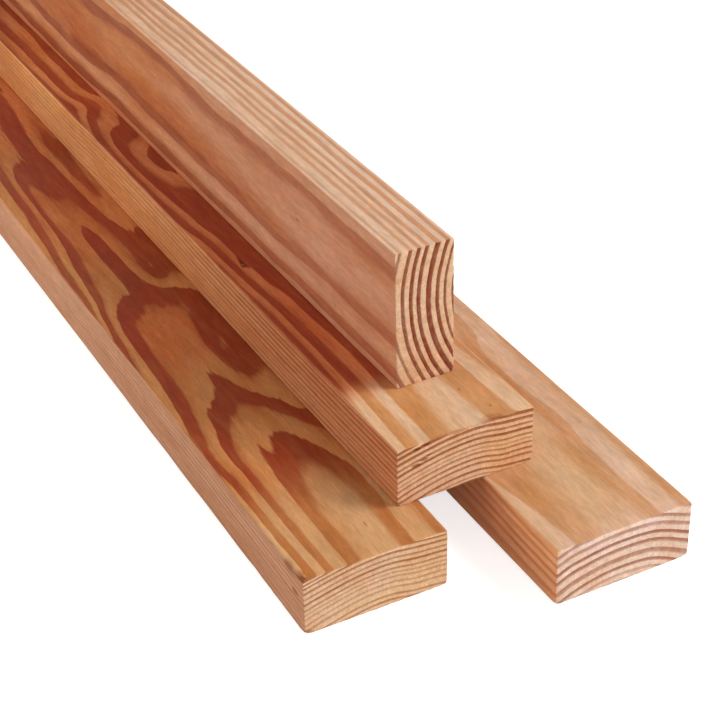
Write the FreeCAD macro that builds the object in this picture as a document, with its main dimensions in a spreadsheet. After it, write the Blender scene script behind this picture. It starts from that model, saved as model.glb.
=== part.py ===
"""A small pack of sawn cedar rails: two lie flat on the ground side by side with a gap, a third lies
flat across the gap on both, and a fourth stands on its narrow edge on the third.

Every rail is one dressed softwood stick of the same section and length, with its four long arrises
eased and both ends sawn square. +Z is up and the rails run along Y, with the sawn ends that are
staggered to show at -Y. The origin is at the bottom centre of the whole pack. Units are millimetres
and degrees.
"""

import FreeCAD, Part
import os
import Sketcher
from FreeCAD import Placement, Rotation, Vector

# One stick of the stock that the pack is made of.
STOCK = {
    "rail_width": 89.0,
    "rail_thickness": 38.0,
    "rail_length": 2438.0,
    "arris_radius": 1.2,
}

# Where the sticks lie. Across sizes are measured between their sides at the front ends, and a
# setback is how far a rail's front end stands behind the front end of the left base rail. A skew
# turns a rail about its own front corner, seen from above, and swings its back end towards -X.
LAYOUT = {
    "base_gap": 42.0,
    "middle_overlap": 14.0,
    "top_inset": 30.0,
    "base_right_setback": -46.0,
    "middle_setback": 31.0,
    "top_setback": 85.0,
    "base_left_skew": -0.25,
    "base_right_skew": -0.15,
    "middle_skew": 0.2,
    "top_skew": 0.2,
}

SHEET = "sizes"
ORIGIN_SHIFT = ("pack_shift_x", "pack_shift_y")

# A sketch and a placement are first drawn at these rough values, and the sheet then sets the real ones.
DRAFT_ACROSS = 80.0
DRAFT_UP = 40.0
DRAFT_SKEW = 1.0

# How a sketch names the two ends of a line, and its own origin.
LINE_START = 1
LINE_END = 2
SKETCH_ORIGIN = (-1, 1)

# Two lengths this close are the same.
SAME_LENGTH = 1e-6
CUBIC_MM_IN_A_LITRE = 1e6


def make_sheet(doc):
    """The driving dimensions, one row each, with the name beside the number."""
    sheet = doc.addObject("Spreadsheet::Sheet", SHEET)
    values = dict(STOCK, **LAYOUT)
    values.update({name: 0.0 for name in ORIGIN_SHIFT})
    for row, (name, value) in enumerate(values.items(), start=1):
        sheet.set(f"A{row}", name)
        sheet.set(f"B{row}", str(value))
        sheet.setAlias(f"B{row}", name)
    doc.recompute()
    return sheet


def origin_plane(body, role):
    return next(f for f in body.Origin.OriginFeatures if f.Role == role)


def section_sketch(body, across, up):
    """A rectangle with its lower left corner on the body's origin, across by up, on the XZ plane."""
    sketch = body.newObject("Sketcher::SketchObject", f"{body.Name}_section")
    sketch.AttachmentSupport = [(origin_plane(body, "XZ_Plane"), "")]
    sketch.MapMode = "FlatFace"
    corners = [
        Vector(0, 0),
        Vector(DRAFT_ACROSS, 0),
        Vector(DRAFT_ACROSS, DRAFT_UP),
        Vector(0, DRAFT_UP),
    ]
    for start, end in zip(corners, corners[1:] + corners[:1]):
        sketch.addGeometry(Part.LineSegment(start, end))
    bottom, right, top, left = range(4)
    for first, second in ((bottom, right), (right, top), (top, left), (left, bottom)):
        joined = Sketcher.Constraint("Coincident", first, LINE_END, second, LINE_START)
        sketch.addConstraint(joined)
    sketch.addConstraint(Sketcher.Constraint("Horizontal", bottom))
    sketch.addConstraint(Sketcher.Constraint("Vertical", right))
    sketch.addConstraint(Sketcher.Constraint("Horizontal", top))
    sketch.addConstraint(Sketcher.Constraint("Vertical", left))
    sketch.addConstraint(Sketcher.Constraint("Coincident", bottom, LINE_START, *SKETCH_ORIGIN))
    for name, line, draft, size in (
        ("across", bottom, DRAFT_ACROSS, across),
        ("up", right, DRAFT_UP, up),
    ):
        number = sketch.addConstraint(Sketcher.Constraint("Distance", line, draft))
        sketch.renameConstraint(number, name)
        sketch.setExpression(f"Constraints.{name}", size)
    return sketch


def long_edges(shape):
    """The names of the four straight edges that run the length of the stick."""
    length = shape.BoundBox.YLength
    return [
        f"Edge{number}"
        for number, edge in enumerate(shape.Edges, start=1)
        if abs(edge.BoundBox.YLength - length) < SAME_LENGTH
    ]


def make_rail(doc, label, across, up, place, skew):
    """One stick, padded back from its front end, with its long arrises eased, then set in the pack."""
    body = doc.addObject("PartDesign::Body", label)
    body.Label = label
    sketch = section_sketch(body, across, up)
    stick = body.newObject("PartDesign::Pad", f"{label}_stick")
    stick.Profile = sketch
    stick.Reversed = True
    stick.setExpression("Length", f"{SHEET}.rail_length")
    doc.recompute()
    arrises = body.newObject("PartDesign::Fillet", f"{label}_arrises")
    arrises.Base = (stick, long_edges(stick.Shape))
    arrises.setExpression("Radius", f"{SHEET}.arris_radius")
    body.Tip = arrises
    body.Placement = Placement(Vector(), Rotation(Vector(0, 0, 1), DRAFT_SKEW))
    for axis, distance in zip("xyz", place):
        body.setExpression(f"Placement.Base.{axis}", distance)
    body.setExpression("Placement.Rotation.Angle", skew)
    return body


def make_pack(doc):
    """The four rails. Each one's place is worked out from the rails that carry it."""
    width, thick = f"{SHEET}.rail_width", f"{SHEET}.rail_thickness"
    shift_x, shift_y = (f"{SHEET}.{name}" for name in ORIGIN_SHIFT)
    base_right_x = f"{shift_x} + {width} + {SHEET}.base_gap"
    middle_x = f"{shift_x} + {width} - {SHEET}.middle_overlap"
    top_x = f"{middle_x} + {SHEET}.top_inset"
    base_right_y, middle_y, top_y = (
        f"{shift_y} + {SHEET}.{name}_setback" for name in ("base_right", "middle", "top")
    )
    skew = {
        name: f"{SHEET}.{name}_skew" for name in ("base_left", "base_right", "middle", "top")
    }
    return [
        make_rail(doc, "base_rail_left", width, thick, (shift_x, shift_y, "0"), skew["base_left"]),
        make_rail(
            doc, "base_rail_right", width, thick, (base_right_x, base_right_y, "0"), skew["base_right"]
        ),
        make_rail(doc, "middle_rail", width, thick, (middle_x, middle_y, thick), skew["middle"]),
        make_rail(doc, "top_rail", thick, width, (top_x, top_y, f"2 * {thick}"), skew["top"]),
    ]


def centre_pack(doc, sheet, rails):
    """Slides the whole pack so that the origin is at the bottom centre of its box."""
    box = FreeCAD.BoundBox()
    for rail in rails:
        box.add(rail.Shape.BoundBox)
    for name, middle in zip(ORIGIN_SHIFT, (box.Center.x, box.Center.y)):
        sheet.set(sheet.getCellFromAlias(name), str(-middle))
    doc.recompute()


def check(doc, rails):
    """Stops the build if a feature failed or a rail isn't one valid solid."""
    for thing in doc.Objects:
        if {"Invalid", "Error"} & set(thing.State):
            raise RuntimeError(f"{thing.Name} failed: {thing.State}")
    for rail in rails:
        if rail.Shape.isNull() or not rail.Shape.isValid() or len(rail.Shape.Solids) != 1:
            raise RuntimeError(f"{rail.Label} isn't one valid solid")


def export(rails):
    os.makedirs("parts", exist_ok=True)
    for rail in rails:
        rail.Shape.exportStep(f"parts/{rail.Label}.step")


doc = FreeCAD.newDocument("rail_pack")
sheet = make_sheet(doc)
rails = make_pack(doc)
doc.recompute()
centre_pack(doc, sheet, rails)
check(doc, rails)
export(rails)
for rail in rails:
    print(rail.Label, rail.Shape.BoundBox, f"{rail.Shape.Volume / CUBIC_MM_IN_A_LITRE:.4f} litres")
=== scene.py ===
"""A pack of four cedar rails: two on the ground, one laid across them and one standing on edge."""

import math

import bmesh
import bpy
from mathutils import Matrix, Vector, noise


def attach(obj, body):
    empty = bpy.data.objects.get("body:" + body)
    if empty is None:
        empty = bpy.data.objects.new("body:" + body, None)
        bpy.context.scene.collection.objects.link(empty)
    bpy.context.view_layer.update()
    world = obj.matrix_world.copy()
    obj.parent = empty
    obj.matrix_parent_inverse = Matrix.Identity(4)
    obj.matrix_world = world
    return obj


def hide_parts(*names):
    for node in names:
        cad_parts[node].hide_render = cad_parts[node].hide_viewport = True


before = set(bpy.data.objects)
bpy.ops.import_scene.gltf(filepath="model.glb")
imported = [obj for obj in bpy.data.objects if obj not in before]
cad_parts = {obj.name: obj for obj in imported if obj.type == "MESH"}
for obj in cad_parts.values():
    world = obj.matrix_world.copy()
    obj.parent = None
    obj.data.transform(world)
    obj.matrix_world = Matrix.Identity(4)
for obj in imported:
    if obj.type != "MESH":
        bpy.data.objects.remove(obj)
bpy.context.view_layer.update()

MM = 0.001
AXES = (0, 1, 2)

# ---------------------------------------------------------------------------
# Each rail's wood, in millimetres from its front, lower left corner.
#   heart        the middle of the tree, across and up from that corner
#   heart_side   where the heart lies, which says whether the oval stretches the rings across or up
#   rings        each dark summer ring: (distance from the heart, width, darkness)
#   rise         how slowly spring wood turns into summer wood, as a share of a ring's growth
#   drift        how the rings move away from the heart along the rail: (along, move)
#   oval         how round the rings are along the rail: (along, roundness)
#   swells       places where the grain bulges: (along, across, up), (reach of each), bulge
#   wander_from  how far along the rail the rings start to bend freely
#   waver        how much the rings waver over a few centimetres
#   tones        spring and summer wood on each face, in display values from 0 to 255; the side and side-back tones are partly the wood's colour and partly painted light and shade for how light falls on the sides
#   deepens      where the top face goes from its front tone to its darker deep one, which is partly painted shade from the rails above: from, to, how far across
#   stains_and_shade  clouds and marks, and painted shade on the left side of the right base rail: (along,
#   across, up), (reach of each), how they change the colour
#   chips        where wood is torn away: (along, across, up), (reach of each), how far it goes in
#   seed         where the rail's noise starts
# ---------------------------------------------------------------------------
WOODS = {
    "base_rail_left": {
        "heart": (50.0, -100.0),
        "heart_side": "below",
        "rings": (
            (96.5, 1.0, 0.8), (100.2, 0.9, 0.7), (103.7, 1.1, 0.8), (107.1, 1.0, 0.7), (112.4, 1.1, 0.55),
            (115.9, 1.0, 0.5), (119.7, 1.0, 0.5), (122.4, 0.8, 0.5), (125.2, 0.9, 0.75), (129.1, 1.2, 1.0),
            (132.4, 1.0, 0.7), (136.2, 1.1, 0.9), (139.45, 0.8, 1.0), (141.8, 0.8, 1.0), (143.8, 0.9, 1.0),
            (146.2, 0.9, 0.95), (148.3, 0.9, 0.9), (151.0, 1.0, 0.9), (154.0, 1.1, 0.9), (157.0, 1.1, 0.9),
        ),
        "rise": 0.12,
        "drift": (
            (0, 0.0), (60, 0.2), (110, 0.6), (160, 1.9), (200, 2.7), (250, 3.1), (300, 4.6), (340, 6.5),
            (400, 7.4), (500, 7.9), (600, 8.4), (720, 8.4), (900, 6.4), (1200, 4.0), (1600, 7.0), (2000, 5.0),
            (2438, 8.0),
        ),
        "oval": (
            (0, 1.0), (100, 0.86), (200, 0.74), (300, 0.84), (400, 0.69), (600, 0.69), (1200, 0.8),
            (2438, 0.9),
        ),
        "swells": (
            ((205, 39, 38), (81, 22, 40), 1.1),
            ((235, 60, 38), (53, 13, 40), 2.5),
            ((242, 76, 38), (48, 16, 40), 0.9),
            ((396, 37, 38), (63, 8, 40), -1.8),
            ((348, 58, 38), (25, 7, 40), 1.5),
            ((503, 63, 38), (110, 9, 40), 2.1),
            ((326, 13, 38), (73, 15, 40), -2.0),
            ((109, 39, 38), (19, 7, 40), 0.4),
            ((145, 70, 38), (49, 18, 40), 1.6),
            ((302, 43, 38), (18, 7, 40), 0.3),
            ((474, 24, 38), (76, 8, 40), -1.8),
            ((0, 92, 19), (70, 10, 60), -1.7),
            ((0, 68, 19), (60, 10, 60), 0.6),
            ((0, 68, 12), (60, 11, 17), 1.2),
            ((0, -4, 19), (70, 14, 60), -1.6),
        ),
        "wander_from": 620.0,
        "waver": 0.9,
        "tones": {
            "front": ((200, 151, 104), (170, 101, 51)),
            # the deep tone is partly painted shade, where the middle and top rails shade this top
            "deep_and_shaded": ((191, 127, 75), (138, 50, 20)),
            # the side tones are partly painted light: these sides turn lighter towards the back
            "side": ((212, 154, 116), (182, 112, 74)),
            "side_back_light_and_shade": ((222, 162, 122), (200, 132, 92)),
            "end": ((230, 189, 153), (164, 100, 60)),
        },
        "deepens": (40.0, 105.0, 200.0),
        "stains_and_shade": (
            ((268, 34, 38), (52, 26, 20), (1.05, 0.80, 0.76)),
            ((450, 42, 38), (90, 46, 20), (1.16, 0.96, 0.92)),
            ((700, 40, 38), (150, 60, 20), (1.26, 0.94, 0.88)),
            ((440, 5, 38), (160, 7, 20), (1.10, 1.22, 1.20)),
            ((150, 4, 38), (170, 5, 20), (1.06, 1.12, 1.10)),
            ((27, 52, 38), (2.6, 0.4, 2), (0.50, 0.34, 0.28)),
            ((0, 76, 19), (5, 20, 22), (1.00, 0.97, 0.86)),
            ((0, 40, 6), (5, 26, 10), (1.01, 1.03, 0.98)),
            ((17, 0, 36), (7, 3, 3), (0.60, 0.46, 0.42)),
            ((10, 0, 24), (4, 3, 2), (0.66, 0.50, 0.46)),
            ((5, 1, 37), (6, 3, 2), (0.62, 0.46, 0.40)),
            ((0, 2, 1), (4, 3, 2), (0.72, 0.58, 0.48)),
        ),
        "chips": (
            ((2, 1, 38), (6, 3, 3), 0.9),
            ((15, 0, 34), (8, 2, 4), 0.6),
            ((0, 1, 1), (3, 3, 3), 0.8),
            ((0, 88, 1), (3, 3, 3), 0.4),
            ((0, 46, 38), (2, 3, 2), 0.4),
        ),
        "seed": 3.0,
    },
    "base_rail_right": {
        "heart": (42.0, -70.0),
        "heart_side": "below",
        "rings": (
            (65.6, 1.2, 0.5), (70.8, 1.2, 0.5), (75.6, 1.1, 0.5), (80.7, 1.2, 0.9), (86.8, 2.0, 0.75),
            (94.1, 1.1, 0.95), (99.1, 1.2, 1.0), (105.0, 1.4, 0.70), (110.0, 1.2, 0.75), (117.0, 1.5, 0.7),
            (124.0, 1.3, 0.8), (129.0, 1.3, 0.8), (134.0, 1.3, 0.8),
        ),
        "rise": 0.30,
        "drift": (
            (0, 0.2), (54, 0.1), (86, -0.3), (108, -0.7), (130, -0.2), (184, 0.0), (205, -1.0), (230, -1.8),
            (300, -2.2), (500, -3.4), (800, -2.5), (1300, -4.0), (1800, -1.0), (2438, -3.0),
        ),
        "oval": ((0, 0.97), (300, 0.95), (900, 0.8), (2438, 1.0)),
        "swells": (
            ((6, 8, 38), (50, 10, 30), -1.0),
            ((80, 4, 38), (48, 14, 30), -3.2),
            ((170, 8, 38), (60, 14, 30), -1.6),
            ((0, 62, 18), (40, 10, 30), -0.6),
            ((0, 84, 18), (40, 10, 40), 0.8),
        ),
        "wander_from": 330.0,
        "waver": 1.6,
        "tones": {
            "front": ((210, 171, 140), (189, 128, 77)),
            "deep_and_shaded": ((215, 172, 136), (190, 126, 74)),
            # the side tone is partly painted light, lighter than the wood to make up for the shade between
            # the base rails; its back tone is darker
            "side": ((240, 176, 126), (204, 118, 68)),
            "side_back_light_and_shade": ((226, 154, 106), (176, 92, 54)),
            "end": ((238, 206, 184), (160, 92, 60)),
        },
        "deepens": (200.0, 700.0, 200.0),
        "stains_and_shade": (
            ((90, 40, 38), (90, 24, 20), (0.99, 0.98, 0.86)),
            ((55, 57, 38), (34, 5, 20), (0.97, 0.90, 0.78)),
            ((150, 64, 38), (80, 3, 20), (0.95, 0.86, 0.72)),
            ((48, 14, 38), (30, 6, 20), (0.93, 0.84, 0.68)),
            ((3, 46, 38), (9, 60, 20), (1.04, 1.06, 1.14)),
            ((200, 74, 38), (230, 4, 20), (1.02, 1.03, 1.06)),
            ((40, 73, 38), (50, 5, 20), (1.03, 1.05, 1.10)),
            ((80, 84, 38), (80, 3, 20), (0.97, 0.91, 0.80)),
            ((30, 0, 38), (120, 6, 6), (0.99, 0.95, 0.86)),
            # painted shade on the left side, which faces the shaded gap between the base rails
            ((140, 0, 10), (200, 6, 30), (0.92, 0.84, 0.78)),
        ),
        "chips": (
            ((0, 88, 1), (4, 4, 3), 0.4),
            ((0, 0, 2), (3, 3, 3), 0.4),
            ((0, 62, 38), (2, 3, 2), 0.4),
        ),
        "seed": 11.0,
    },
    "middle_rail": {
        "heart": (50.0, -100.0),
        "heart_side": "below",
        "rings": (
            (96.5, 1.1, 0.9), (100.8, 1.3, 1.0), (103.4, 0.9, 0.5), (106.9, 1.2, 0.9), (111.9, 1.1, 0.8),
            (115.4, 1.1, 0.85), (119.2, 1.0, 0.7), (121.9, 0.8, 0.45), (124.8, 1.0, 0.75), (128.8, 1.3, 1.0),
            (132.1, 1.1, 0.75), (136.0, 1.5, 0.95), (139.9, 1.7, 1.0), (143.2, 1.4, 1.0), (146.4, 1.3, 1.0),
            (149.6, 1.3, 1.0), (152.6, 1.3, 1.0), (155.4, 1.3, 1.0),
        ),
        "rise": 0.14,
        "drift": (
            (0, 0.0), (100, 0.5), (200, 0.7), (300, -1.0), (400, -1.9), (500, 0.2), (600, 0.5), (700, 1.2),
            (1000, 0.6), (1500, 4.0), (2000, 1.0), (2438, 3.0),
        ),
        "oval": (
            (0, 1.0), (150, 0.98), (290, 0.92), (400, 0.92), (500, 0.96), (700, 0.86), (1200, 0.8),
            (2438, 0.9),
        ),
        "swells": (
            ((403, 27, 38), (68, 15, 40), -6.3),
            ((509, 19, 38), (18, 26, 40), 1.5),
            ((265, 16, 38), (106, 9, 40), -1.6),
            ((450, 28, 38), (48, 12, 40), 4.0),
            ((362, 27, 38), (82, 14, 40), 4.4),
            ((0, 92, 17), (70, 10, 50), -1.7),
            ((0, 68, 17), (60, 10, 60), 0.6),
            ((0, 68, 12), (60, 11, 17), 1.4),
            ((0, -4, 19), (70, 14, 60), -1.6),
        ),
        "wander_from": 690.0,
        "waver": 0.8,
        "tones": {
            "front": ((215, 177, 142), (191, 130, 77)),
            # the deep tone is partly painted shade from the top rail, on the strip of this top beside it
            "deep_and_shaded": ((204, 124, 78), (150, 58, 32)),
            # the side tones are partly painted light: these sides turn lighter towards the back
            "side": ((212, 142, 96), (172, 98, 60)),
            "side_back_light_and_shade": ((240, 172, 112), (210, 136, 82)),
            "end": ((231, 185, 148), (150, 84, 44)),
        },
        "deepens": (48.0, 78.0, 56.0),
        "stains_and_shade": (
            ((26, 54, 38), (26, 10, 20), (0.99, 1.03, 1.07)),
            ((30, 28, 38), (14, 8, 20), (0.98, 0.93, 0.84)),
            ((36, 61, 38), (1.5, 0.8, 2), (0.80, 0.56, 0.48)),
            ((13, 68, 38), (1.4, 0.6, 2), (0.66, 0.50, 0.46)),
            ((3, 62, 38), (3, 7, 2), (0.80, 0.66, 0.60)),
            ((150, 20, 38), (60, 4, 20), (0.98, 0.80, 0.74)),
            ((0, 62, 38), (2.4, 9, 1.6), (0.62, 0.48, 0.42)),
            ((0, 36, 38), (2.0, 16, 1.2), (0.74, 0.60, 0.52)),
            ((0, 70, 14), (5, 20, 16), (1.00, 0.95, 0.80)),
            ((0, 13, 35.4), (5, 3.0, 1.1), (0.52, 0.32, 0.28)),
            ((0, 18, 36.6), (5, 3.0, 1.0), (0.52, 0.32, 0.28)),
            ((0, 12, 24.6), (5, 3.0, 1.1), (0.55, 0.36, 0.32)),
            ((0, 17, 27.0), (5, 3.2, 1.1), (0.55, 0.36, 0.32)),
            ((0, 20, 29.0), (5, 2.0, 0.7), (0.60, 0.40, 0.36)),
            ((232, 16, 38), (7, 1.8, 3), (0.52, 0.42, 0.40)),
            ((228, 14, 38), (3, 1.0, 3), (0.45, 0.36, 0.36)),
            ((580, 24, 38), (120, 30, 20), (1.34, 1.45, 1.26)),
        ),
        "chips": (
            ((232, 16, 38), (8, 2.2, 4), 0.9),
            ((226, 13, 38), (4, 1.5, 4), 0.5),
            ((0, 62, 38), (2.4, 5, 2), 0.6),
            ((0, 48, 38), (2.0, 4, 2), 0.5),
            ((0, 33, 38), (2.0, 3, 2), 0.4),
            ((0, 76, 38), (2.0, 3, 2), 0.4),
            ((0, 88, 1), (4, 4, 3), 0.6),
            ((0, 1, 1), (3, 3, 3), 0.6),
        ),
        "seed": 23.0,
    },
    "top_rail": {
        "heart": (115.0, 54.0),
        "heart_side": "right",
        "rings": (
            (72.0, 1.5, 0.9), (77.8, 1.5, 0.9), (83.2, 1.2, 0.9), (87.9, 1.9, 1.0), (93.8, 2.7, 1.0),
            (100.6, 2.0, 1.0), (105.4, 2.0, 1.0), (110.6, 1.8, 0.9), (117.2, 1.2, 0.7), (123.8, 2.2, 0.8),
            (129.5, 1.8, 0.9), (135.0, 1.8, 0.9),
        ),
        "rise": 0.14,
        "drift": ((0, 0.0), (200, -0.4), (500, -0.9), (900, 0.8), (1400, -1.0), (1900, 1.2), (2438, 0.0)),
        "oval": ((0, 1.0), (500, 1.05), (2438, 1.0)),
        "swells": (
            ((100, 0, 50), (90, 20, 20), -0.5),
            ((250, 0, 74), (42, 20, 16), 0.7),
            ((350, 0, 76), (60, 20, 16), -0.6),
            ((455, 0, 74), (45, 20, 16), 0.8),
            ((165, 0, 25), (40, 20, 12), -0.8),
            ((400, 0, 27), (50, 20, 12), 0.8),
            ((520, 0, 30), (50, 20, 14), -0.7),
        ),
        "wander_from": 430.0,
        "waver": 3.2,
        "tones": {
            "front": ((215, 180, 153), (193, 133, 92)),
            "deep_and_shaded": ((213, 170, 135), (182, 119, 77)),
            "side": ((214, 148, 110), (172, 88, 54)),
            "side_back_light_and_shade": ((214, 140, 94), (152, 66, 36)),
            "end": ((228, 188, 152), (124, 42, 20)),
        },
        "deepens": (200.0, 500.0, 200.0),
        "stains_and_shade": (
            ((105, 0, 52), (95, 8, 15), (1.08, 1.15, 1.26)),
            ((260, 0, 60), (70, 8, 9), (1.05, 1.10, 1.16)),
            ((190, 0, 38), (60, 8, 8), (0.94, 0.88, 0.82)),
            ((320, 0, 44), (110, 8, 13), (0.92, 0.78, 0.64)),
            ((420, 0, 66), (90, 8, 8), (1.06, 1.10, 1.02)),
            ((400, 0, 50), (60, 8, 7), (1.08, 1.08, 0.98)),
            ((560, 0, 50), (120, 8, 18), (0.90, 0.74, 0.60)),
            ((610, 0, 62), (60, 8, 8), (1.10, 1.12, 1.04)),
            ((470, 0, 34), (60, 8, 5), (0.86, 0.70, 0.60)),
            ((230, 0, 34), (120, 8, 4), (0.92, 0.78, 0.66)),
            ((500, 0, 19), (500, 8, 4.5), (1.10, 1.22, 1.30)),
            ((300, 0, 84), (400, 8, 5), (1.04, 1.12, 1.18)),
            ((28, 0, 70), (30, 8, 5), (0.92, 0.84, 0.74)),
            ((123, 0, 53), (3, 4, 0.8), (0.66, 0.46, 0.40)),
        ),
        "chips": (
            ((0, 37, 1), (3, 3, 3), 0.4),
            ((0, 1, 88), (2, 3, 3), 0.4),
            ((123, 0, 53), (3, 3, 1.0), 0.4),
        ),
        "seed": 37.0,
    },
}

PIECE_NAMES = {
    "base_rail_left": "left_base_cedar_rail",
    "base_rail_right": "right_base_cedar_rail",
    "middle_rail": "middle_cedar_rail",
    "top_rail": "top_cedar_rail",
}


# ---------------------------------------------------------------------------
# Objects and where each rail lies
# ---------------------------------------------------------------------------
def add_object(name, data):
    """A new object with this data, in the scene."""
    made = bpy.data.objects.new(name, data)
    bpy.context.scene.collection.objects.link(made)
    return made


def middle_of(points):
    return sum(points, Vector()) / len(points)


def rail_place(node):
    """The matrix of a rail's lower left front corner, and its size across, along and up."""
    points = [vertex.co.copy() for vertex in node.data.vertices]
    middle_y = sum(point.y for point in points) / len(points)
    front_middle = middle_of([point for point in points if point.y < middle_y])
    back_middle = middle_of([point for point in points if point.y >= middle_y])
    along = (back_middle - front_middle).normalized()
    up = Vector((0.0, 0.0, 1.0))
    across = along.cross(up)
    turn = Matrix((across, along, up)).transposed()
    local = [turn.transposed() @ point for point in points]
    low = Vector([min(point[axis] for point in local) for axis in AXES])
    high = Vector([max(point[axis] for point in local) for axis in AXES])
    corner = turn @ low
    return Matrix.Translation(corner) @ turn.to_4x4(), high - low


# ---------------------------------------------------------------------------
# Node building
# ---------------------------------------------------------------------------
NO_HEIGHT = 1e-9


class Bench:
    """Adds nodes to one tree, one line for each step."""

    def __init__(self, owner):
        """Empties the node tree of a material or a world, ready for new nodes."""
        owner.use_nodes = True
        self.tree = owner.node_tree
        self.tree.nodes.clear()

    def node(self, kind, **settings):
        made = self.tree.nodes.new(kind)
        for name, value in settings.items():
            setattr(made, name, value)
        return made

    def feed(self, socket, value):
        if isinstance(value, bpy.types.NodeSocket):
            self.tree.links.new(value, socket)
        else:
            socket.default_value = value

    def calc(self, operation, *values):
        made = self.node("ShaderNodeMath", operation=operation)
        for socket, value in zip(made.inputs, values):
            self.feed(socket, value)
        return made.outputs["Value"]

    def vector(self, operation, *values, out="Vector"):
        made = self.node("ShaderNodeVectorMath", operation=operation)
        for socket, value in zip(made.inputs, values):
            self.feed(socket, value)
        return made.outputs[out]

    def split(self, value):
        made = self.node("ShaderNodeSeparateXYZ")
        self.feed(made.inputs[0], value)
        return made.outputs[0], made.outputs[1], made.outputs[2]

    def join(self, x, y, z):
        made = self.node("ShaderNodeCombineXYZ")
        for socket, value in zip(made.inputs, (x, y, z)):
            self.feed(socket, value)
        return made.outputs[0]

    def step(self, value, low, high, out_low=0.0, out_high=1.0):
        """A smooth step from out_low to out_high as value goes from low to high."""
        made = self.node("ShaderNodeMapRange", interpolation_type="SMOOTHSTEP", clamp=True)
        names = ("Value", "From Min", "From Max", "To Min", "To Max")
        for name, given in zip(names, (value, low, high, out_low, out_high)):
            self.feed(made.inputs[name], given)
        return made.outputs["Result"]

    def curve(self, value, points, handle="AUTO_CLAMPED"):
        """A curve through points of (place, amount), flat beyond its ends."""
        low_x, high_x = points[0][0], points[-1][0]
        amounts = [amount for _, amount in points]
        low_y, high_y = min(amounts), max(amounts)
        share = self.node("ShaderNodeMapRange", clamp=True)
        self.feed(share.inputs["Value"], value)
        share.inputs["From Min"].default_value = low_x
        share.inputs["From Max"].default_value = high_x
        made = self.node("ShaderNodeFloatCurve")
        line = made.mapping.curves[0]
        while len(line.points) < len(points):
            line.points.new(0.5, 0.5)
        for point, (x, y) in zip(line.points, points):
            share_x = (x - low_x) / (high_x - low_x)
            share_y = (y - low_y) / max(high_y - low_y, NO_HEIGHT)
            point.location = (share_x, share_y)
            point.handle_type = handle
        made.mapping.update()
        self.feed(made.inputs["Value"], share.outputs["Result"])
        return self.calc("MULTIPLY_ADD", made.outputs[0], high_y - low_y, low_y)

    def noise(self, place, detail, roughness):
        """Noise from 0 to 1 at a place."""
        made = self.node("ShaderNodeTexNoise", noise_dimensions="3D")
        self.feed(made.inputs["Vector"], place)
        made.inputs["Scale"].default_value = 1.0
        made.inputs["Detail"].default_value = detail
        made.inputs["Roughness"].default_value = roughness
        return made.outputs[0]

    def colours(self, share, first, second, blend="MIX"):
        made = self.node("ShaderNodeMix", data_type="RGBA", blend_type=blend, clamp_factor=True)
        self.feed(made.inputs[0], share)
        self.feed(made.inputs[6], first)
        self.feed(made.inputs[7], second)
        return made.outputs[2]

    def times(self, colour, amount):
        """A colour made lighter or darker by an amount."""
        return self.colours(1.0, colour, self.join(amount, amount, amount), "MULTIPLY")


# ---------------------------------------------------------------------------
# Noise in the wood
# ---------------------------------------------------------------------------
# Each pattern: its reach in millimetres across, along and up, what it adds to the rail's seed,
# and its detail and roughness.
PATTERNS = {
    "broad_bends": ((55.0, 330.0, 55.0), 0.0, 1.5, 0.5),
    "wavers": ((14.0, 85.0, 14.0), 5.0, 2.0, 0.5),
    "fine_bends": ((2.2, 26.0, 2.2), 9.0, 2.0, 0.5),
    "stain_and_shade_edges": ((5.0, 26.0, 5.0), 41.0, 3.0, 0.6),
    "clouds": ((20.0, 110.0, 20.0), 2.0, 4.0, 0.6),
    "smears": ((6.0, 46.0, 6.0), 23.0, 4.0, 0.65),
    "blotches": ((4.5, 22.0, 4.5), 7.0, 4.0, 0.62),
    "flecks": ((1.5, 6.5, 1.5), 51.0, 3.0, 0.65),
    "fibres": ((0.55, 30.0, 0.55), 12.0, 3.0, 0.6),
    "resin": ((0.9, 12.0, 0.9), 19.0, 1.0, 0.5),
    "mottle": ((1.3, 1.3, 1.3), 31.0, 3.0, 0.6),
    "saw_lines": ((0.6, 9.0, 16.0), 33.0, 1.5, 0.5),
    # patches along the arrises: part rubbed wear, part painted highlight
    "rubbing_and_highlight": ((3.0, 18.0, 3.0), 27.0, 3.0, 0.5),
}
SEED_SPREAD = (1.0, 1.7, 0.6)

# What a pattern does to the wood: the effect goes from the third number to the fourth as the
# noise goes from the first to the second.
STREAK_DARKNESS = (-0.2, 0.2, 0.84, 1.0)
BLOTCH_LIGHT = (-0.3, 0.3, 0.88, 1.12)
FLECK_LIGHT = (-0.25, 0.25, 0.92, 1.08)
FIBRE_LIGHT = (-0.25, 0.25, 0.90, 1.09)
MOTTLE_LIGHT = (-0.3, 0.3, 0.90, 1.09)
CLOUD_SHARE = (-0.10, 0.14, 0.0, 1.0)
RUDDY_SHARE = (-0.16, 0.16, 0.12, 0.58)
RESIN_SHARE = (0.24, 0.32, 0.0, 1.0)
RUBBED_HIGHLIGHT_SHARE = (-0.2, 0.2, 0.10, 0.45)


def pattern(bench, place, wood, kind):
    """Noise from -0.5 to 0.5 in one of the patterns."""
    reach, extra, detail, roughness = PATTERNS[kind]
    seed = wood["seed"] + extra
    scaled = bench.vector("MULTIPLY", place, [1.0 / size for size in reach])
    moved = bench.vector("ADD", scaled, [seed * spread for spread in SEED_SPREAD])
    return bench.calc("SUBTRACT", bench.noise(moved, detail, roughness), 0.5)


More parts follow.
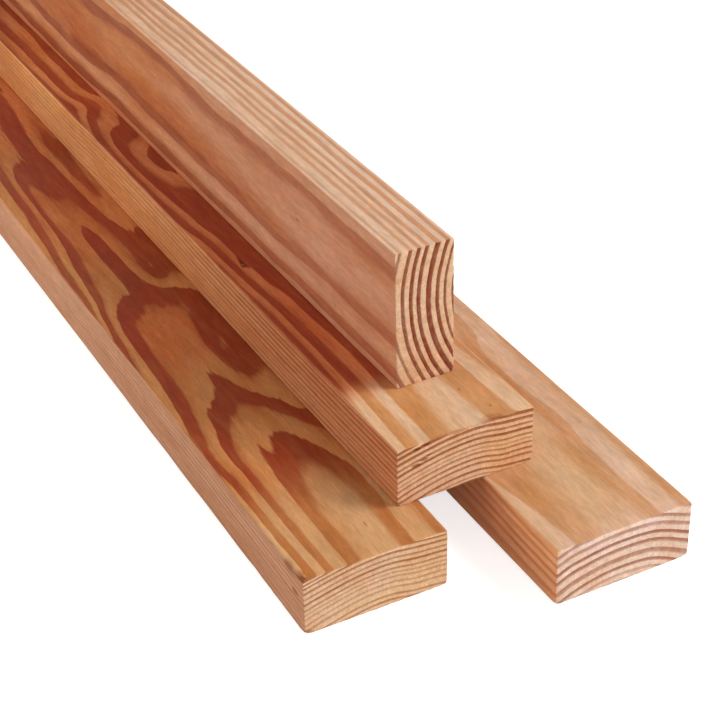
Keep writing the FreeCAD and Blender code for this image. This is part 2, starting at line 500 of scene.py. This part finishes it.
def swell(bench, place, centre, reach, amount):
    """A smooth bulge round a place given along, across and up."""
    along, across, up = centre
    reach_along, reach_across, reach_up = reach
    away = bench.vector("SUBTRACT", place, (across, along, up))
    scaled = bench.vector("MULTIPLY", away, (1 / reach_across, 1 / reach_along, 1 / reach_up))
    square = bench.vector("DOT_PRODUCT", scaled, scaled, out="Value")
    fall = bench.calc("POWER", math.e, bench.calc("MULTIPLY", square, -1.0))
    return bench.calc("MULTIPLY", fall, amount)


# ---------------------------------------------------------------------------
# Growth rings
# ---------------------------------------------------------------------------
# free bends, in millimetres, and the share of them that is left near the front
WANDER_GROWS_OVER = 350.0
WAVER_GROWS_TO = 130.0
BROAD_BEND = 9.0
FINE_BEND = 0.34
FRONT_WANDER = 0.06
FRONT_WAVER = 0.35

# each ring's edges, as shares of its growth, and how dark summer wood is when it starts
RING_FALL = 0.06
RIPENING = 0.40
EARLY_DARKNESS = 0.92


def smooth_distance(bench, place, wood):
    """How far a place is from the heart of the tree, with the rings' oval, drift and bulges."""
    across, along, up = bench.split(place)
    from_heart_across = bench.calc("SUBTRACT", across, wood["heart"][0])
    from_heart_up = bench.calc("SUBTRACT", up, wood["heart"][1])
    oval = bench.curve(along, wood["oval"])
    if wood["heart_side"] == "below":
        from_heart_across = bench.calc("MULTIPLY", from_heart_across, oval)
    else:
        from_heart_up = bench.calc("MULTIPLY", from_heart_up, oval)
    from_heart = bench.join(from_heart_across, 0.0, from_heart_up)
    distance = bench.vector("LENGTH", from_heart, out="Value")
    distance = bench.calc("ADD", distance, bench.curve(along, wood["drift"]))
    for centre, reach, amount in wood["swells"]:
        distance = bench.calc("ADD", distance, swell(bench, place, centre, reach, amount))
    return distance


def ring_distance(bench, place, wood):
    """The smooth distance, with the bends and wavers of real grain."""
    _, along, _ = bench.split(place)
    wander_to = wood["wander_from"] + WANDER_GROWS_OVER
    free = bench.step(along, wood["wander_from"], wander_to, FRONT_WANDER, 1.0)
    broad = bench.calc("MULTIPLY", pattern(bench, place, wood, "broad_bends"), free)
    broad = bench.calc("MULTIPLY", broad, BROAD_BEND)
    waver = bench.step(along, 0.0, WAVER_GROWS_TO, FRONT_WAVER * wood["waver"], wood["waver"])
    distance = bench.calc("ADD", smooth_distance(bench, place, wood), broad)
    distance = bench.calc("MULTIPLY_ADD", pattern(bench, place, wood, "wavers"), waver, distance)
    return bench.calc("MULTIPLY_ADD", pattern(bench, place, wood, "fine_bends"), FINE_BEND, distance)


def ring_shares(rings):
    """For each ring, half of its width as a share of the growth round it."""
    shares = []
    for number, (_, width, _) in enumerate(rings):
        before = max(number - 1, 0)
        after = min(number + 1, len(rings) - 1)
        growth = (rings[after][0] - rings[before][0]) / (after - before)
        shares.append((number, width / 2 / growth))
    return shares


def summer_wood(bench, place, wood):
    """How much of the dark summer wood is at a place, and how far the wood before it has ripened."""
    distance = ring_distance(bench, place, wood)
    rings = wood["rings"]
    ages = [(ring[0], number) for number, ring in enumerate(rings)]
    darknesses = [(number, ring[2]) for number, ring in enumerate(rings)]
    age = bench.curve(distance, ages, "VECTOR")
    ring = bench.calc("ROUND", age)
    offset = bench.calc("SUBTRACT", age, ring)
    half = bench.curve(ring, ring_shares(rings), "VECTOR")
    darkness = bench.curve(ring, darknesses, "VECTOR")
    inner_edge = bench.calc("MULTIPLY", half, -1.0)
    rise = bench.step(offset, bench.calc("SUBTRACT", inner_edge, wood["rise"]), inner_edge)
    darkens = bench.step(offset, inner_edge, half, EARLY_DARKNESS, 1.0)
    fall = bench.step(offset, half, bench.calc("ADD", half, RING_FALL), 1.0, 0.0)
    late = bench.calc("MULTIPLY", bench.calc("MULTIPLY", rise, darkens), fall)
    ripening = bench.step(offset, bench.calc("SUBTRACT", inner_edge, RIPENING), inner_edge)
    ripening = bench.calc("MULTIPLY", bench.calc("MULTIPLY", ripening, fall), darkness)
    return bench.calc("MULTIPLY", late, darkness), ripening


# ---------------------------------------------------------------------------
# Colours of the wood
# ---------------------------------------------------------------------------
DISPLAY_TOP = 255

# how squarely a place faces sideways or endways where its tone starts to change, and where it has
SIDE_FACING = (0.45, 0.85)
END_FACING = (0.5, 0.8)

# millimetres along a side where its tone changes to its back tone, partly painted light and shade, and across
# the top where the deep tone, partly painted shade, fades
SIDE_CHANGES = (120.0, 420.0)
DEEP_EDGE = 8.0

# the strength of clouds and ruddy smears on the front tone, and what the deep tone, which is partly painted
# shade, adds to it
FRONT_CLOUDS = 0.6
DEEP_CLOUDS = 0.4
FRONT_RUDDY = 0.35
DEEP_RUDDY = 0.65

# marks: a warm cloud's change of colour, shares of an effect, and millimetres in from an arris for the pale
# arris line, part rubbed wood and part painted highlight
WARM = (0.92, 0.78, 0.64)
STAIN_AND_SHADE_UNEVENNESS = 0.7
STAIN_AND_SHADE_EDGE = (0.12, 0.80)
RESIN_STRENGTH = 0.30
SAW_LINE_STRENGTH = 0.5
RUBBED_HIGHLIGHT_LIGHT = 1.12
RUBBED_HIGHLIGHT_WIDTH = (0.9, 2.2)


def shown(value):
    """A display value from 0 to 255 as the light that it stands for."""
    share = value / DISPLAY_TOP
    return share / 12.92 if share <= 0.04045 else ((share + 0.055) / 1.055) ** 2.4


def tone(values):
    return (*(shown(value) for value in values), 1.0)


def face_tones(bench, place, wood):
    """Spring and summer colours at a place, then 1 on a sawn end and 1 where the top has deepened into its
    darker tone, which is partly painted shade.
    """
    geometry = bench.node("ShaderNodeNewGeometry")
    facing = bench.vector("ABSOLUTE", geometry.outputs["Normal"])
    to_side, to_end, _ = bench.split(facing)
    side = bench.step(to_side, *SIDE_FACING)
    end = bench.step(to_end, *END_FACING)
    across, along, _ = bench.split(place)
    # the top's deep tone: partly the wood's own colour, partly painted shade where the rails above shade it
    deep_from, deep_to, deep_across = wood["deepens"]
    deep_and_shaded = bench.step(along, deep_from, deep_to)
    deep_and_shaded = bench.calc("MULTIPLY", deep_and_shaded, bench.step(across, deep_across - DEEP_EDGE, deep_across, 1.0, 0.0))
    # sides take their own tones, lighter or darker towards the back: partly the wood's colour, partly painted
    # light and shade
    back = bench.step(along, *SIDE_CHANGES)
    tones = wood["tones"]
    seasons = []
    for season in (0, 1):
        colour = bench.colours(deep_and_shaded, tone(tones["front"][season]), tone(tones["deep_and_shaded"][season]))
        side_colour = bench.colours(back, tone(tones["side"][season]), tone(tones["side_back_light_and_shade"][season]))
        colour = bench.colours(side, colour, side_colour)
        seasons.append(bench.colours(end, colour, tone(tones["end"][season])))
    spring, summer = seasons
    return spring, summer, end, deep_and_shaded


def clouded(bench, place, wood, spring, deep_and_shaded):
    """Pale spring wood with warmer clouds in it."""
    warm = bench.vector("MULTIPLY", spring, WARM)
    share = bench.step(pattern(bench, place, wood, "clouds"), *CLOUD_SHARE)
    # clouds are stronger in the deep tone, adding to its painted shade
    strength = bench.calc("MULTIPLY_ADD", deep_and_shaded, DEEP_CLOUDS, FRONT_CLOUDS)
    return bench.colours(bench.calc("MULTIPLY", share, strength), spring, warm)


def ripened(bench, smears, ripening, spring, summer, deep_and_shaded):
    """Spring wood that reddens, in smears, towards the dark ring that follows it."""
    share = bench.calc("MULTIPLY", ripening, bench.step(smears, *RUDDY_SHARE))
    # ruddy smears are stronger in the deep tone, adding to its painted shade
    strength = bench.calc("MULTIPLY_ADD", deep_and_shaded, DEEP_RUDDY, FRONT_RUDDY)
    return bench.colours(bench.calc("MULTIPLY", share, strength), spring, summer)


def stained_and_shaded(bench, place, wood, colour):
    """The colour with the rail's clouds and marks on it, and the painted shade among them, each with an
    uneven edge.
    """
    uneven = pattern(bench, place, wood, "stain_and_shade_edges")
    uneven = bench.calc("MULTIPLY_ADD", uneven, STAIN_AND_SHADE_UNEVENNESS, 1.0)
    for centre, reach, change in wood["stains_and_shade"]:
        share = bench.calc("MULTIPLY", swell(bench, place, centre, reach, 1.0), uneven)
        stain_and_shade = bench.vector("MULTIPLY", colour, change)
        colour = bench.colours(bench.step(share, *STAIN_AND_SHADE_EDGE), colour, stain_and_shade)
    return colour


def fibred(bench, place, wood, colour, summer, fibres):
    """The colour with blotches, flecks, fibres and short resin dashes on it."""
    colour = bench.times(colour, bench.step(pattern(bench, place, wood, "blotches"), *BLOTCH_LIGHT))
    colour = bench.times(colour, bench.step(pattern(bench, place, wood, "flecks"), *FLECK_LIGHT))
    colour = bench.times(colour, bench.step(fibres, *FIBRE_LIGHT))
    resin = bench.step(pattern(bench, place, wood, "resin"), *RESIN_SHARE)
    return bench.colours(bench.calc("MULTIPLY", resin, RESIN_STRENGTH), colour, summer)


def sawn(bench, place, wood, colour, end):
    """The colour with a light mottle and saw lines on the sawn ends."""
    mottle = pattern(bench, place, wood, "mottle")
    saw_lines = pattern(bench, place, wood, "saw_lines")
    mottle = bench.calc("MULTIPLY_ADD", saw_lines, SAW_LINE_STRENGTH, mottle)
    return bench.colours(end, colour, bench.times(colour, bench.step(mottle, *MOTTLE_LIGHT)))


def near_arris(bench, place, size):
    """1 on the four long arrises of a rail, falling to 0 a little way in."""
    across, _, up = bench.split(place)
    to_side = bench.calc("MINIMUM", across, bench.calc("SUBTRACT", size.x / MM, across))
    to_face = bench.calc("MINIMUM", up, bench.calc("SUBTRACT", size.z / MM, up))
    return bench.step(bench.calc("ADD", to_side, to_face), *RUBBED_HIGHLIGHT_WIDTH, 1.0, 0.0)


def rubbed_and_highlit(bench, place, wood, colour, spring, size):
    """The colour with paler patches along the arrises: partly rubbed wood, partly a painted highlight where
    the eased arrises catch the light.
    """
    # paler arris lines: part rubbed wear, part painted highlight
    patches = bench.step(pattern(bench, place, wood, "rubbing_and_highlight"), *RUBBED_HIGHLIGHT_SHARE)
    share = bench.calc("MULTIPLY", near_arris(bench, place, size), patches)
    return bench.colours(share, colour, bench.times(spring, RUBBED_HIGHLIGHT_LIGHT))


# ---------------------------------------------------------------------------
# The wood's material
# ---------------------------------------------------------------------------
WOOD_IOR = 1.45
WOOD_SPECULAR = 0.16

# spring wood's roughness, and what summer wood, a sawn end and the fibres add to it
WOOD_ROUGHNESS = 0.64
SUMMER_ROUGHNESS = -0.10
END_ROUGHNESS = 0.18
FIBRE_ROUGHNESS = 0.12

# the fibres' height beside summer wood's, and how strong and deep the relief is
FIBRE_HEIGHT = 0.6
RELIEF_STRENGTH = 0.5
RELIEF_DEPTH = 0.12 * MM


def place_in_rail(bench, place_matrix):
    """Millimetres across, along and up from the rail's lower left front corner."""
    coordinates = bench.node("ShaderNodeTexCoord")
    mapping = bench.node("ShaderNodeMapping", vector_type="TEXTURE")
    bench.feed(mapping.inputs["Vector"], coordinates.outputs["Object"])
    mapping.inputs["Location"].default_value = place_matrix.translation
    mapping.inputs["Rotation"].default_value = place_matrix.to_euler()
    mapping.inputs["Scale"].default_value = (MM, MM, MM)
    return mapping.outputs["Vector"]


def wood_shader(bench, colour, late, end, fibres):
    """A dull shader with a slight relief of fibres and summer wood."""
    shader = bench.node("ShaderNodeBsdfPrincipled")
    shader.inputs["IOR"].default_value = WOOD_IOR
    shader.inputs["Specular IOR Level"].default_value = WOOD_SPECULAR
    bench.feed(shader.inputs["Base Color"], colour)
    roughness = bench.calc("MULTIPLY_ADD", late, SUMMER_ROUGHNESS, WOOD_ROUGHNESS)
    roughness = bench.calc("MULTIPLY_ADD", end, END_ROUGHNESS, roughness)
    roughness = bench.calc("MULTIPLY_ADD", fibres, FIBRE_ROUGHNESS, roughness)
    bench.feed(shader.inputs["Roughness"], roughness)
    relief = bench.node("ShaderNodeBump")
    relief.inputs["Strength"].default_value = RELIEF_STRENGTH
    relief.inputs["Distance"].default_value = RELIEF_DEPTH
    bench.feed(relief.inputs["Height"], bench.calc("MULTIPLY_ADD", fibres, FIBRE_HEIGHT, late))
    bench.feed(shader.inputs["Normal"], relief.outputs["Normal"])
    output = bench.node("ShaderNodeOutputMaterial")
    bench.feed(output.inputs["Surface"], shader.outputs["BSDF"])


def cedar(name, wood, place_matrix, size):
    """Planed cedar for one rail: rings, stains with some painted shade, tones with painted light and shade,
    fibres, sawn ends and rubbed arrises with a painted highlight.
    """
    material = bpy.data.materials.new(name)
    bench = Bench(material)
    place = place_in_rail(bench, place_matrix)
    late, ripening = summer_wood(bench, place, wood)
    spring, summer, end, deep_and_shaded = face_tones(bench, place, wood)
    smears = pattern(bench, place, wood, "smears")
    fibres = pattern(bench, place, wood, "fibres")
    spring = clouded(bench, place, wood, spring, deep_and_shaded)
    spring = ripened(bench, smears, ripening, spring, summer, deep_and_shaded)
    streaked = bench.calc("MULTIPLY", late, bench.step(smears, *STREAK_DARKNESS))
    colour = bench.colours(streaked, spring, summer)
    colour = stained_and_shaded(bench, place, wood, colour)
    colour = fibred(bench, place, wood, colour, summer, fibres)
    colour = sawn(bench, place, wood, colour, end)
    colour = rubbed_and_highlit(bench, place, wood, colour, spring, size)
    wood_shader(bench, colour, late, end, fibres)
    return material


# ---------------------------------------------------------------------------
# Rail shapes
# ---------------------------------------------------------------------------
ARRIS_RADIUS = 1.2 * MM
CELL = 0.75 * MM
STATIONS = 90
END_CROWDING = 0.9
SHARP_ANGLE = math.radians(40)

# lengths in metres that count as nothing
NO_LENGTH = 1e-9
CUT_MERGE = 1e-6

# cuts across a rail, in millimetres from its front end and from its back end
FRONT_CUTS = (0.25, 0.6, 1.1, 1.8)
BACK_CUTS = (0.6, 1.4)

# cuts through a chip that lies beyond the end's own fine cells, as shares of its reach
CHIP_CUTS = (-1.4, -1.1, -0.8, -0.55, -0.3, 0.0, 0.3, 0.55, 0.8, 1.1, 1.4)
CHIP_CUTS_FROM = 20.0

# wear: how far it reaches in and how deep it is, in millimetres
END_EASING = 1.1
END_BAND = 1.5
END_WEAR = 0.20
WORN_REACH = 4.0
ARRIS_WEAR = 0.40
CHIP_BAND = 2.5

# wear's noise: waves in a millimetre, and how uneven it makes an eased end
WEAR_FINENESS = 0.35
WEAR_ROUGHNESS = 0.9

# a chip: its noise's waves in a millimetre, its steady share and its rough share, how steeply it
# fades, and the square of the distance, in its own reaches, where it stops
CHIP_FINENESS = 0.9
CHIP_EVENNESS = 0.7
CHIP_ROUGHNESS = 0.9
CHIP_STEEPNESS = 1.4
CHIP_LIMIT = 4.0


def ease_corner(vertex, size):
    """Moves a point in one of the section's corners so that the corner becomes a quarter circle."""
    centre_x = min(max(vertex.co.x, ARRIS_RADIUS), size.x - ARRIS_RADIUS)
    centre_y = min(max(vertex.co.y, ARRIS_RADIUS), size.z - ARRIS_RADIUS)
    away = Vector((vertex.co.x - centre_x, vertex.co.y - centre_y))
    if abs(away.x) < NO_LENGTH or abs(away.y) < NO_LENGTH:
        return
    away *= max(abs(away.x), abs(away.y)) / away.length
    vertex.co.x = centre_x + away.x
    vertex.co.y = centre_y + away.y


def make_section(bm, size):
    """The front end as a fine upright grid with eased corners."""
    columns = round(size.x / CELL)
    rows = round(size.z / CELL)
    bmesh.ops.create_grid(bm, x_segments=columns, y_segments=rows, size=0.5)
    bmesh.ops.scale(bm, vec=(size.x, size.z, 1.0), verts=bm.verts)
    bmesh.ops.translate(bm, vec=(size.x / 2, size.z / 2, 0.0), verts=bm.verts)
    for vertex in bm.verts:
        ease_corner(vertex, size)
    upright = Matrix.Rotation(math.pi / 2, 3, "X")
    bmesh.ops.rotate(bm, cent=(0, 0, 0), matrix=upright, verts=bm.verts)


def draw_out(bm, size):
    """Draws the section out along the rail, with stations that crowd together near both ends."""
    drawn = bmesh.ops.extrude_face_region(bm, geom=bm.faces[:])
    moved = [item for item in drawn["geom"] if isinstance(item, bmesh.types.BMVert)]
    bmesh.ops.translate(bm, vec=(0.0, size.y, 0.0), verts=moved)
    long_edges = [edge for edge in bm.edges if edge.calc_length() > size.y / 2]
    bmesh.ops.subdivide_edges(bm, edges=long_edges, cuts=STATIONS, use_grid_fill=True)
    for vertex in bm.verts:
        share = vertex.co.y / size.y
        crowded = share - END_CROWDING * math.sin(2 * math.pi * share) / (2 * math.pi)
        vertex.co.y = crowded * size.y


def add_cuts(bm, size, wood):
    """Extra cuts across the rail, just behind its ends and through its deeper chips."""
    places = [*FRONT_CUTS, *(size.y / MM - cut for cut in BACK_CUTS)]
    for (along, _, _), (reach, _, _), _ in wood["chips"]:
        if along > CHIP_CUTS_FROM:
            places += [along + reach * share for share in CHIP_CUTS]
    for along in sorted(places):
        everything = bm.verts[:] + bm.edges[:] + bm.faces[:]
        cut_at = (0, along * MM, 0)
        bmesh.ops.bisect_plane(bm, geom=everything, dist=CUT_MERGE, plane_co=cut_at, plane_no=(0, 1, 0))


def eased_end(inset, side, rough):
    """How far the edges of a sawn end are worn back at a point."""
    end_near = max(0.0, 1.0 - inset[1] / END_EASING)
    face_near = max(0.0, 1.0 - min(inset[0], inset[2]) / END_EASING)
    depth = end_near * face_near * END_WEAR * (1.0 + WEAR_ROUGHNESS * rough)
    inward_x = side.x if inset[0] < END_BAND else 0.0
    inward_z = side.z if inset[2] < END_BAND else 0.0
    return Vector((inward_x, side.y, inward_z)) * depth


def worn_arris(inset, side, rough):
    """How far a long arris is worn at a point."""
    arris_near = max(0.0, 1.0 - (inset[0] + inset[2]) / WORN_REACH)
    return Vector((side.x, 0.0, side.z)) * arris_near * ARRIS_WEAR * max(0.0, rough)


def torn_chip(point, inset, side, chip):
    """How far one chip goes in at a point."""
    (along, across, up), (reach_along, reach_across, reach_up), depth = chip
    away_along = (point.y / MM - along) / reach_along
    away_across = (point.x / MM - across) / reach_across
    away_up = (point.z / MM - up) / reach_up
    square = away_along**2 + away_across**2 + away_up**2
    if square >= CHIP_LIMIT:
        return Vector()
    roughness = CHIP_ROUGHNESS * noise.noise(point / MM * CHIP_FINENESS)
    torn = max(0.0, CHIP_EVENNESS + roughness)
    into = Vector([side[axis] if inset[axis] < CHIP_BAND else 0.0 for axis in AXES])
    return into * depth * torn * math.exp(-square * CHIP_STEEPNESS)


def worn_away(point, size, wood):
    """How far a point of the rail is worn inward: eased ends, uneven arrises and torn chips."""
    inset = [min(point[axis], size[axis] - point[axis]) / MM for axis in AXES]
    side = Vector([1.0 if point[axis] < size[axis] / 2 else -1.0 for axis in AXES])
    rough = 0.0
    if sum(sorted(inset)[:2]) <= WORN_REACH:
        rough = noise.noise(point / MM * WEAR_FINENESS + Vector((wood["seed"], 0.0, 0.0)))
    moved = eased_end(inset, side, rough)
    moved += worn_arris(inset, side, rough)
    for chip in wood["chips"]:
        moved += torn_chip(point, inset, side, chip)
    return moved * MM


def rail_shape(name, place_matrix, size, wood):
    """A planed rail: a fine grid for the sawn end, drawn out along the rail and then worn."""
    bm = bmesh.new()
    make_section(bm, size)
    draw_out(bm, size)
    add_cuts(bm, size, wood)
    for vertex in bm.verts:
        vertex.co += worn_away(vertex.co, size, wood)
    bmesh.ops.recalc_face_normals(bm, faces=bm.faces)
    bmesh.ops.transform(bm, matrix=place_matrix, verts=bm.verts)
    mesh = bpy.data.meshes.new(name)
    bm.to_mesh(mesh)
    bm.free()
    for face in mesh.polygons:
        face.use_smooth = True
    mesh.set_sharp_from_angle(angle=SHARP_ANGLE)
    return add_object(name, mesh)


def make_rail(node_name):
    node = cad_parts[node_name]
    wood = WOODS[node_name]
    place_matrix, size = rail_place(node)
    rail = rail_shape(PIECE_NAMES[node_name], place_matrix, size, wood)
    rail.data.materials.append(cedar(f"cedar_{node_name}", wood, place_matrix, size))
    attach(rail, "root")
    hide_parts(node_name)


# ---------------------------------------------------------------------------
# Floor and surroundings
# ---------------------------------------------------------------------------
FLOOR_REACH = 20.0
FLOOR_GREY = (0.70, 0.70, 0.70, 1.0)
WHITE = (1.0, 1.0, 1.0, 1.0)

# how bright the floor glows for the rays that see it, and the surroundings for all other rays
FLOOR_GLOW = 0.68
WORLD_FILL = 0.33


def seen_share(bench):
    """1 for rays that come from the camera, a mirror or glass."""
    path = bench.node("ShaderNodeLightPath")
    seen = bench.calc("MAXIMUM", path.outputs["Is Camera Ray"], path.outputs["Is Glossy Ray"])
    return bench.calc("MAXIMUM", seen, path.outputs["Is Transmission Ray"])


def floor_paint():
    """A grey floor that also glows for the rays that see it, so that it looks nearly white."""
    material = bpy.data.materials.new("pale_floor")
    bench = Bench(material)
    paint = bench.node("ShaderNodeBsdfDiffuse")
    paint.inputs["Color"].default_value = FLOOR_GREY
    glow = bench.node("ShaderNodeEmission")
    glow.inputs["Color"].default_value = WHITE
    bench.feed(glow.inputs["Strength"], bench.calc("MULTIPLY", seen_share(bench), FLOOR_GLOW))
    both = bench.node("ShaderNodeAddShader")
    bench.feed(both.inputs[0], paint.outputs[0])
    bench.feed(both.inputs[1], glow.outputs[0])
    output = bench.node("ShaderNodeOutputMaterial")
    bench.feed(output.inputs["Surface"], both.outputs[0])
    return material


def make_floor():
    bm = bmesh.new()
    bmesh.ops.create_grid(bm, x_segments=1, y_segments=1, size=FLOOR_REACH)
    mesh = bpy.data.meshes.new("studio_floor")
    bm.to_mesh(mesh)
    bm.free()
    mesh.materials.append(floor_paint())
    floor = add_object("studio_floor", mesh)


def make_world():
    """Surroundings that look white and light the pack only a little."""
    world = bpy.data.worlds.new("studio")
    bench = Bench(world)
    fill = bench.node("ShaderNodeBackground")
    fill.inputs["Color"].default_value = WHITE
    strength = bench.calc("MULTIPLY_ADD", seen_share(bench), 1.0 - WORLD_FILL, WORLD_FILL)
    bench.feed(fill.inputs["Strength"], strength)
    output = bench.node("ShaderNodeOutputWorld")
    bench.feed(output.inputs["Surface"], fill.outputs[0])
    bpy.context.scene.world = world


# ---------------------------------------------------------------------------
# Lights and camera
# ---------------------------------------------------------------------------
FRONT_END = Vector((0.0, -1.15, 0.06))
BACK_END = Vector((0.0, 1.15, 0.06))

# each lamp: where it aims, its azimuth and elevation in degrees, its distance, width and power
LAMPS = {
    "key_lamp": (FRONT_END, 58.0, 46.0, 3.2, 1.3, 73.0),
    "front_lamp": (FRONT_END, -8.0, 30.0, 3.6, 1.8, 32.0),
    "left_lamp": (FRONT_END, -112.0, 26.0, 2.6, 1.6, 18.0),
    "back_lamp": (BACK_END, 165.0, 24.0, 3.0, 1.6, 17.0),
}

# the camera's azimuth, elevation and roll are in degrees, its lens and sensor in millimetres
CAMERA_PLACE = (-0.4280, -1.9236, 0.6643)
CAMERA_TURN = (-27.24, 32.91, -1.57)
CAMERA_REACH = (0.01, 100.0)
LENS = 91.74
SENSOR = 36.0


def direction(azimuth, elevation):
    """The way from the pack to something at this azimuth and elevation, in radians."""
    return Vector((
        math.sin(azimuth) * math.cos(elevation),
        -math.cos(azimuth) * math.cos(elevation),
        math.sin(elevation),
    ))


def soft_lamp(name, aim, azimuth, elevation, distance, width, power):
    """A square lamp that looks at one end of the pack."""
    back = direction(math.radians(azimuth), math.radians(elevation))
    data = bpy.data.lights.new(name, "AREA")
    data.shape = "SQUARE"
    data.size = width
    data.energy = power
    lamp = add_object(name, data)
    lamp.location = aim + back * distance
    lamp.rotation_mode = "QUATERNION"
    lamp.rotation_quaternion = (-back).to_track_quat("-Z", "Y")


def make_camera():
    azimuth, elevation, roll = (math.radians(angle) for angle in CAMERA_TURN)
    back = direction(azimuth, elevation)
    level = Vector((math.cos(azimuth), math.sin(azimuth), 0.0))
    upright = back.cross(level)
    right = level * math.cos(roll) + upright * math.sin(roll)
    up = upright * math.cos(roll) - level * math.sin(roll)
    data = bpy.data.cameras.new("studio_camera")
    data.lens = LENS
    data.sensor_width = SENSOR
    data.clip_start, data.clip_end = CAMERA_REACH
    camera = add_object("studio_camera", data)
    camera.matrix_world = Matrix.Translation(CAMERA_PLACE) @ Matrix((right, up, back)).transposed().to_4x4()
    bpy.context.scene.camera = camera


for rail_name in WOODS:
    make_rail(rail_name)
make_floor()
make_world()
for lamp_name, settings in LAMPS.items():
    soft_lamp(lamp_name, *settings)
make_camera()
bpy.context.scene.view_settings.view_transform = "Standard"
